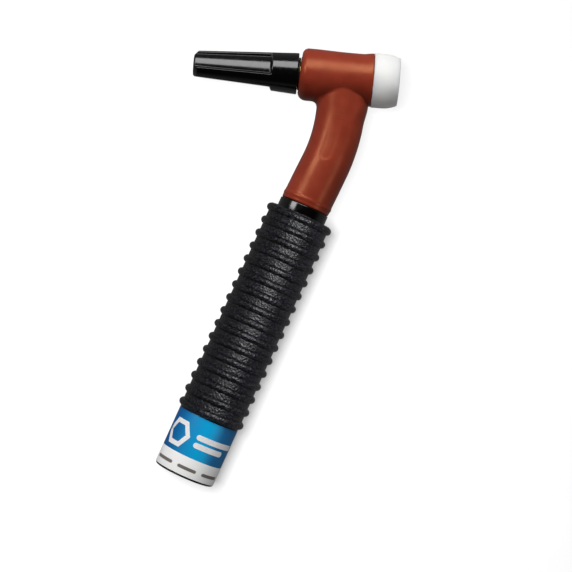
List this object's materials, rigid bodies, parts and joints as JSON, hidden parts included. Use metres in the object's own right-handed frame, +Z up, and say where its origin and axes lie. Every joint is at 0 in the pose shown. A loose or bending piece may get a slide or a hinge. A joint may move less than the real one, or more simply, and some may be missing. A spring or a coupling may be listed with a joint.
{
  "type": "tig torch",
  "caption": "Hand-held gas tungsten arc welding torch: ribbed grip, bent neck, and a crosswise head with a long screw-on back cap and a cup gasket.",
  "frame": {"origin": "middle of the bounding box's footprint, on the surface that the torch lies on", "axes": "+Y along the handle's axis from the cable end to the head, +X to the side that the cup faces, +Z up from the surface; the handle's axis, the neck and the barrel all lie in the plane z = 16.4 mm"},
  "size_m": [0.0964, 0.2198, 0.0328],
  "materials": {
    "grip_rubber": "matt, fine pebble grain",
    "jacket_rubber": "red-brown silicone, satin",
    "ptfe": "white fluoropolymer, smooth",
    "black_moulding": "black phenolic, glossy",
    "handle_plastic": "black nylon, half gloss",
    "foil_label": "blue and silver printed foil",
    "brass": "machined",
    "copper": "drawn copper tube",
    "seal_rubber": "smooth black"
  },
  "bodies": {
    "torch_body": {"head_block": "brass", "neck_tube": "copper", "head_jacket": "jacket_rubber", "cable_stud": "brass"},
    "handle": {"handle_tube": "handle_plastic", "handle_label": "foil_label", "grip_sleeve": "grip_rubber", "handle_nose": "black_moulding"},
    "gasket": {"cup_gasket": "ptfe"},
    "cap_seal": {"cap_o_ring": "seal_rubber"},
    "back_cap": {"cap_body": "black_moulding", "cap_insert": "brass"}
  },
  "joints": [
    {"name": "handle_slide", "type": "slide", "parent": "torch_body", "child": "handle", "axis": [0, -1, 0], "range_m": [0, 0.075]},
    {"name": "gasket_pull", "type": "slide", "parent": "torch_body", "child": "gasket", "axis": [0.9438, 0.3305, 0], "range_m": [0, 0.012]},
    {"name": "cap_travel", "type": "slide", "parent": "torch_body", "child": "cap_seal", "axis": [-0.9438, -0.3305, 0], "range_m": [0, 0.00817]},
    {"name": "cap_turn", "type": "hinge", "parent": "cap_seal", "child": "back_cap", "pos_m": [0.02014, 0.09082, 0.0164], "axis": [-0.9438, -0.3305, 0], "range_deg": [0, 3240]}
  ],
  "couplings": [
    {"joint": "cap_travel", "follows": "cap_turn", "m_per_rad": 0.00014435}
  ]
}
